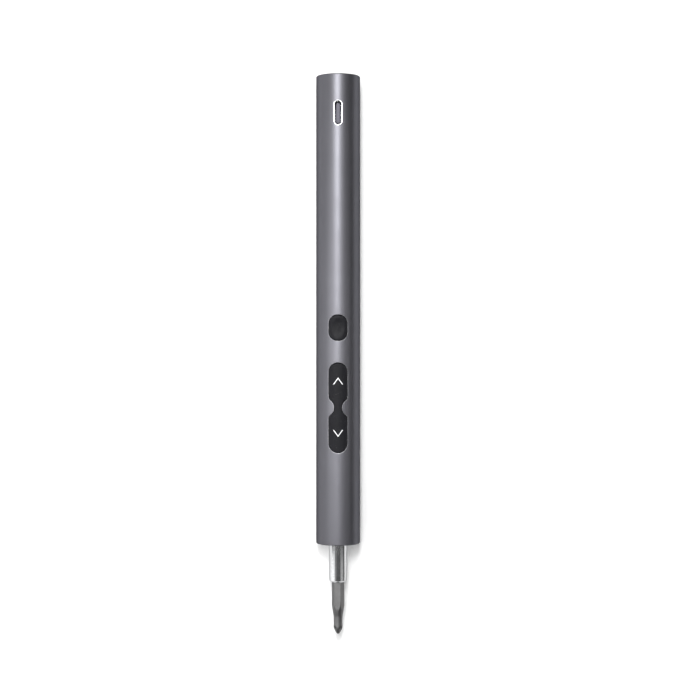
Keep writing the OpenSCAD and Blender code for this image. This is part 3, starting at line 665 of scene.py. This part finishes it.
# ------------------------------------------------------------------ charging port
def port():
    b = Build()
    low, top = SHELL_LOW, SHELL_TOP
    seq = [(0.0, low, None), (0.0, top - 0.12, 0), (-0.035, top - 0.035, 45), (-0.12, top, 90), (-0.18, top, 90), (-0.265, top - 0.035, 135), (-0.30, top - 0.12, 180), (-0.30, low + 0.5, 180)]
    loops = []
    for d, up, ang in seq:
        lp = stadium(d, 3.16, 8.94)
        n2 = loop_normals(lp)
        a = math.radians(ang or 0)
        loops.append(([P(x, up, z + PORT_Z) for x, z in lp], [D(math.cos(a) * m[0], math.sin(a), math.cos(a) * m[1]) for m in n2]))
    for k in range(len(loops) - 1):
        b.strip(loops[k][0], loops[k + 1][0], loops[k][1], loops[k + 1][1], 0, wa=0.2, wb=0.2)
    for d, up, s in ((0.0, low, -1), (-0.30, low + 0.5, 1)):
        lp = stadium(d, 3.16, 8.94)
        c = P(0, up, PORT_Z)
        ring = [P(x, up, z + PORT_Z) for x, z in lp]
        for i in range(len(ring)):
            b.face([ring[i], ring[(i + 1) % len(ring)], c], [D(0, s, 0)] * 3, 0)
    b.obj("port_shell", [PLATE], "housing", ["usb_shell"])

    b = Build()

    def bar(w, l, ua, ub, rr, corner):
        """An upright bar with rounded corners and a rounded top edge."""
        seq = [(0.0, ua, 0)] + [(-rr * (1 - math.cos(math.radians(a))), ub - rr * (1 - math.sin(math.radians(a))), a) for a in (0, 30, 60, 90)]
        loops = []
        for d, up, ang in seq:
            lp = oval(d, w, l, corner, 6)
            n2 = loop_normals(lp)
            a = math.radians(ang)
            loops.append(([P(x, up, z + PORT_Z) for x, z in lp], [D(math.cos(a) * m[0], math.sin(a), math.cos(a) * m[1]) for m in n2]))
        for k in range(len(loops) - 1):
            b.strip(loops[k][0], loops[k + 1][0], loops[k][1], loops[k + 1][1], 0)
        for (ring, _), up, s in ((loops[0], ua, -1), (loops[-1], ub, 1)):
            c = P(0, up, PORT_Z)
            for i in range(len(ring)):
                b.face([ring[i], ring[(i + 1) % len(ring)], c], [D(0, s, 0)] * 3, 0)

    bar(2.4, 8.2, low + 0.52, low + 1.2, 0.08, 1.15)
    bar(0.70, 6.7, low + 1.0, 6.00, 0.05, 0.30)
    bar(1.50, 7.3, 5.95, 6.20, 0.08, 0.70)
    bar(1.00, 6.6, 6.12, 6.38, 0.08, 0.48)
    b.obj("port_tongue", [TONGUE], "housing", ["usb_tongue"])
    NODES["usb_contacts"].data.materials.clear()
    NODES["usb_contacts"].data.materials.append(GOLD)


port()

# ------------------------------------------------------------------ ends of the barrel
def ends():
    b = Build()
    lathe(b, rounded([(5.6, 1.2), (5.6, 0.2), (6.75, 0.2), (7.05, 0.5), (7.05, 2.75), (6.25, 2.75), (6.25, 1.2), (5.6, 1.2)],
                     [0.12, 0.08, 0.08, 0.05, 0.05, 0.0], 3), 128, 0, 50)
    b.obj("nose_trim", [ANOD], "housing", ["nose_ring"])
    b = Build()
    lathe(b, rounded([(3.5, 1.55), (3.5, 0.35), (5.5, 0.35), (5.5, 1.2), (6.15, 1.2), (6.15, 1.55), (3.5, 1.55)],
                     [0.15, 0.15, 0.0, 0.05, 0.05], 4), 128, 0, 50)
    b.obj("light_window", [LENS], "housing", ["light_lens"])
    b = Build()
    prof = rounded([(0.0, LEN - 2.8), (7.05, LEN - 2.8), (7.05, LEN - 0.6), (6.75, LEN - 0.3), (0.0, LEN - 0.3)], [0.1, 0.1, 0.15], 4)
    lathe(b, prof, 128, 0, 50, [0.3 if (r > 6.6 and z > LEN - 0.9) else 0.0 for r, z in prof])
    b.obj("tail_plug", [ANOD], "housing", ["tail_cap"])


ends()

# ------------------------------------------------------------------ bit holder
def hex_r(af, phi):
    a = (phi + PI / 6) % (PI / 3) - PI / 6
    return af / 2 / math.cos(a)


def ring(fn, z, n, s=1.0):
    return [P(s * fn(2 * PI * i / n) * math.sin(2 * PI * i / n), s * fn(2 * PI * i / n) * math.cos(2 * PI * i / n), z) for i in range(n)]


def hex_phase(phi):
    """Angle from a face of the bit's hexagon. The faces' middles stand at TURN from straight up."""
    return phi - TURN_UP


TURN_UP = -TURN


def holder():
    b = Build()
    n = 144
    z0 = COLLAR_Z
    front = [(2.62, z0 + 0.0), (COLLAR_R - 0.50, z0), (COLLAR_R, z0 + 0.50), (COLLAR_R, 2.8), (COLLAR_R - 0.15, 3.15), (3.0, 3.15), (3.0, 5.8), (2.5, 5.8),
             (2.5, 6.25), (3.0, 6.25), (3.0, 7.9), (2.0, 7.9), (2.0, 8.9), (0.0, 8.9)]
    prof = rounded(front, [0.10, 0.14, 0.06, 0.06, 0, 0.03, 0, 0, 0.03, 0.05, 0, 0.1], 4)
    wear_and_highlight = [0.6 if z < z0 + 0.62 else 0.0 for r, z in prof]
    lathe(b, prof, n, 0, 50, wear_and_highlight)
    # lead-in cone, hexagon socket, magnet bore
    ang = [2 * PI * i / n for i in range(n)]
    hexf = lambda s: (lambda p: hex_r(4.1 + s, hex_phase(p)))
    round_ = lambda r: (lambda p: r)
    lead = ring(round_(2.62), z0, n)
    mouth = ring(lambda p: min(2.62, hex_r(4.1, hex_phase(p)) + 0.12), z0 + 0.22, n)
    inn = ring(hexf(0.0), z0 + 0.55, n)
    deep = ring(hexf(0.0), z0 + 9.05, n)
    nin = [D(-math.sin(a), -math.cos(a), -0.7) for a in ang]
    nwall = []
    for a in ang:
        k = round((hex_phase(a)) / (PI / 3)) * (PI / 3) + TURN_UP
        nwall.append(D(-math.sin(k), -math.cos(k), 0))
    b.strip(lead, mouth, [D(-math.sin(a) * 0.6, -math.cos(a) * 0.6, -0.8) for a in ang], nin, 0, wa=0.5, wb=0.3)
    b.strip(mouth, inn, nin, nwall, 0, wa=0.3)
    b.strip(inn, deep, nwall, nwall, 0)
    step = ring(round_(1.65), z0 + 9.05, n)
    b.strip(deep, step, [D(0, 0, -1)] * n, [D(0, 0, -1)] * n, 0)
    bore = ring(round_(1.65), z0 + 11.6, n)
    nb = [D(-math.sin(a), -math.cos(a), 0) for a in ang]
    b.strip(step, bore, nb, nb, 0)
    c = P(0, 0, z0 + 11.6)
    for i in range(n):
        b.face([bore[i], bore[(i + 1) % n], c], [D(0, 0, -1)] * 3, 0)
    b.obj("collar_polished", [CHROME], "spindle", ["bit_holder"])


holder()

# ------------------------------------------------------------------ bit
def smin(a, b, k):
    h = max(k - abs(a - b), 0.0) / k
    return min(a, b) - h * h * k * 0.25


def bit_mesh():
    b = Build()
    n = 360
    length = BIT_BACK - TIP

    def core(t):
        """The turned radius at t mm from the tip: rounded point, tip cone, neck, long cone, shank, back bevel."""
        pts = [(0.0, 0.30), (0.05, 0.42), (0.18, 0.54), (0.6, 0.80), (1.2, 1.14), (1.8, 1.43), (2.3, 1.56), (2.6, 1.59), (6.3, 1.60), (6.6, 1.63), (10.5, 2.33), (27.6, 2.33),
               (27.85, 2.20), (28.0, 2.02)]
        return float(np.interp(t * 28.0 / length, [p[0] for p in pts], [p[1] for p in pts]))

    def radius(phi, t):
        r = smin(hex_r(4.0, hex_phase(phi)), core(t), 0.07)
        if t < 4.2:
            best = 9.0
            d = (phi - TURN_UP - PI / 4 + PI / 4) % (PI / 2) - PI / 4
            e = 0.24 + 0.13 * t
            if t > 1.9:
                e += (t - 1.9) ** 1.6 * 0.62
            den = math.cos(d) - abs(math.sin(d)) * 1.02
            if den > 0.03:
                best = e / den
            r = smin(r, best, 0.05)
        return max(r, 0.05)

    ts = [0.0, 0.02, 0.05, 0.1, 0.18, 0.28] + list(np.arange(0.4, 4.4, 0.08)) + list(np.arange(4.5, 6.3, 0.3)) + list(np.arange(6.4, 10.9, 0.08)) \
        + list(np.arange(11.0, 27.4, 0.9)) + [27.5, 27.6, 27.7, 27.8, 27.88, 27.94, 28.0]
    ts = [t * length / 28.0 for t in ts]
    phis = [2 * PI * i / n for i in range(n)]
    rad = np.array([[radius(p, t) for p in phis] for t in ts])
    pos = [[P(rad[k][i] * math.sin(p), rad[k][i] * math.cos(p), TIP + t) for i, p in enumerate(phis)] for k, t in enumerate(ts)]
    A = np.array(pos)
    dphi = np.roll(A, -1, 1) - np.roll(A, 1, 1)
    dt = np.gradient(A, axis=0)
    N_ = np.cross(dphi, dt)
    N_ /= np.linalg.norm(N_, axis=2)[..., None]
    cen = A - np.array(P(0, 0, 0))
    cen[..., 1] = 0
    if (N_ * cen).sum() < 0:
        N_ = -N_
    for k in range(len(ts) - 1):
        na = [tuple(v) for v in N_[k]]
        nb = [tuple(v) for v in N_[k + 1]]
        w = 0.75 if ts[k] < 2.4 else (0.35 if ts[k] < 4.0 else 0.0)
        b.strip(pos[k], pos[k + 1], na, nb, 0, wa=w, wb=w)
    for k, s, z in ((0, -1, TIP), (len(ts) - 1, 1, TIP + ts[-1])):
        c = P(0, 0, z)
        for i in range(n):
            b.face([pos[k][i], pos[k][(i + 1) % n], c], [D(0, 0, s)] * 3, 0, 0.5)
    # worn corners along the hexagon
    for (vid, p) in enumerate(b.verts):
        x, up, z = p[0] * 1000, p[2] * 1000 - AXIS, p[1] * 1000 - NOSE
        rr = math.hypot(x, up)
        if rr > 2.2 and z - TIP > 10:
            b.wear_and_highlight[vid] = max(b.wear_and_highlight.get(vid, 0), min(1.0, (rr - 2.2) / 0.08) * 0.6)
    b.obj("cross_point_bit", [BITM], "bit", ["bit"])


bit_mesh()

# ------------------------------------------------------------------ floor, light, camera
def floor():
    m, t, bs = nodes_of("pale_floor")
    co = t.nodes.new("ShaderNodeTexCoord").outputs["Object"]
    nz = noise(t, co, 6.0, 2.0)
    t.links.new(mix(t, ramp(t, nz.outputs[0], 0.3, 0.7, 0.0, 1.0), (0.90, 0.90, 0.90), (0.915, 0.915, 0.915)), bs.inputs["Base Color"])
    bs.inputs["Roughness"].default_value = 0.9
    bs.inputs["Specular IOR Level"].default_value = 0.1
    me = bpy.data.meshes.new("pale_floor")
    s = 3.0
    me.from_pydata([(-s, -s, 0), (s, -s, 0), (s, s, 0), (-s, s, 0)], [], [(0, 1, 2, 3)])
    me.materials.append(m)
    o = bpy.data.objects.new("pale_floor", me)
    bpy.context.scene.collection.objects.link(o)


floor()


def area(name, loc, target, sx, sy, power):
    l = bpy.data.lights.new(name, "AREA")
    l.shape = "RECTANGLE"
    l.size, l.size_y = sx, sy
    l.energy = power
    o = bpy.data.objects.new(name, l)
    o.location = loc
    o.rotation_euler = (Vector(target) - Vector(loc)).to_track_quat("-Z", "Y").to_euler()
    bpy.context.scene.collection.objects.link(o)
    return o


# Softboxes on an arch 0.9 m over the tool: angle from straight up (left is negative), place along the tool, width, length, watts
ARCH = [
    (-86, -0.30, 0.20, 0.40, 0.37), (-86, 0.00, 0.20, 0.20, 0.21), (-86, 0.85, 0.20, 0.50, 4.79), (-74, -0.30, 0.20, 0.40, 0.05),
    (-74, 0.00, 0.20, 0.20, 0.35), (-74, 0.45, 0.20, 0.30, 0.68), (-62, -0.30, 0.20, 0.40, 0.25), (-62, 0.00, 0.20, 0.20, 0.17),
    (-62, 0.45, 0.20, 0.30, 0.19), (-50, -0.30, 0.20, 0.40, 0.16), (-50, 0.00, 0.20, 0.20, 0.60), (-40, 0.00, 0.16, 0.20, 0.51),
    (-31, -0.30, 0.14, 0.40, 0.03), (-31, 0.00, 0.14, 0.20, 0.53), (-23, 0.00, 0.12, 0.20, 0.43), (-16, 0.00, 0.10, 0.20, 0.26),
    (-16, 0.20, 0.10, 0.20, 0.37), (-10, 0.00, 0.08, 0.20, 0.22), (-10, 0.20, 0.08, 0.20, 0.40), (-10, 0.45, 0.08, 0.30, 0.10),
    (-5, 0.00, 0.06, 0.20, 0.27), (-5, 0.20, 0.06, 0.20, 0.86), (-5, 0.45, 0.06, 0.30, 2.60), (-1, 0.00, 0.06, 0.20, 0.21),
    (-1, 0.20, 0.06, 0.20, 0.64), (-1, 0.45, 0.06, 0.30, 2.50), (3, 0.00, 0.06, 0.20, 0.07), (3, 0.20, 0.06, 0.20, 0.12),
    (3, 0.45, 0.06, 0.30, 0.78), (8, 0.00, 0.08, 0.20, 0.18), (14, 0.00, 0.10, 0.20, 0.28), (22, 0.00, 0.14, 0.20, 0.12),
    (22, 0.20, 0.14, 0.20, 0.15), (31, 0.00, 0.16, 0.20, 0.29), (41, -0.30, 0.18, 0.40, 0.06), (52, -0.30, 0.20, 0.40, 0.05),
    (52, 0.00, 0.20, 0.20, 0.33), (64, -0.30, 0.20, 0.40, 0.05), (-31, -0.75, 0.14, 0.50, 0.60), (-5, -0.75, 0.10, 0.50, 0.25),
]
for k, (ang, y, w, l, p) in enumerate(ARCH):
    a = math.radians(ang)
    area(f"softbox_{k}", (0.9 * math.sin(a), y, 0.9 * math.cos(a)), (0, 0.3 * y, 0), w, l, p)

world = bpy.data.worlds.new("studio")
bpy.context.scene.world = world
world.use_nodes = True
world.node_tree.nodes["Background"].inputs[0].default_value = (0.1, 0.1, 0.1, 1)
world.node_tree.nodes["Background"].inputs[1].default_value = 1.0

cam = bpy.data.cameras.new("camera")
cam.sensor_width = 36.0
cam.lens = 80.15
cam.clip_start = 0.01
co = bpy.data.objects.new("camera", cam)
co.location = (0.0007, 0.0055, 0.560)
co.rotation_euler = (0.0, 0.0, 0.0)
bpy.context.scene.collection.objects.link(co)
bpy.context.scene.camera = co
bpy.context.scene.view_settings.view_transform = "Standard"
bpy.context.scene.view_settings.look = "None"


bpy.context.view_layer.update()
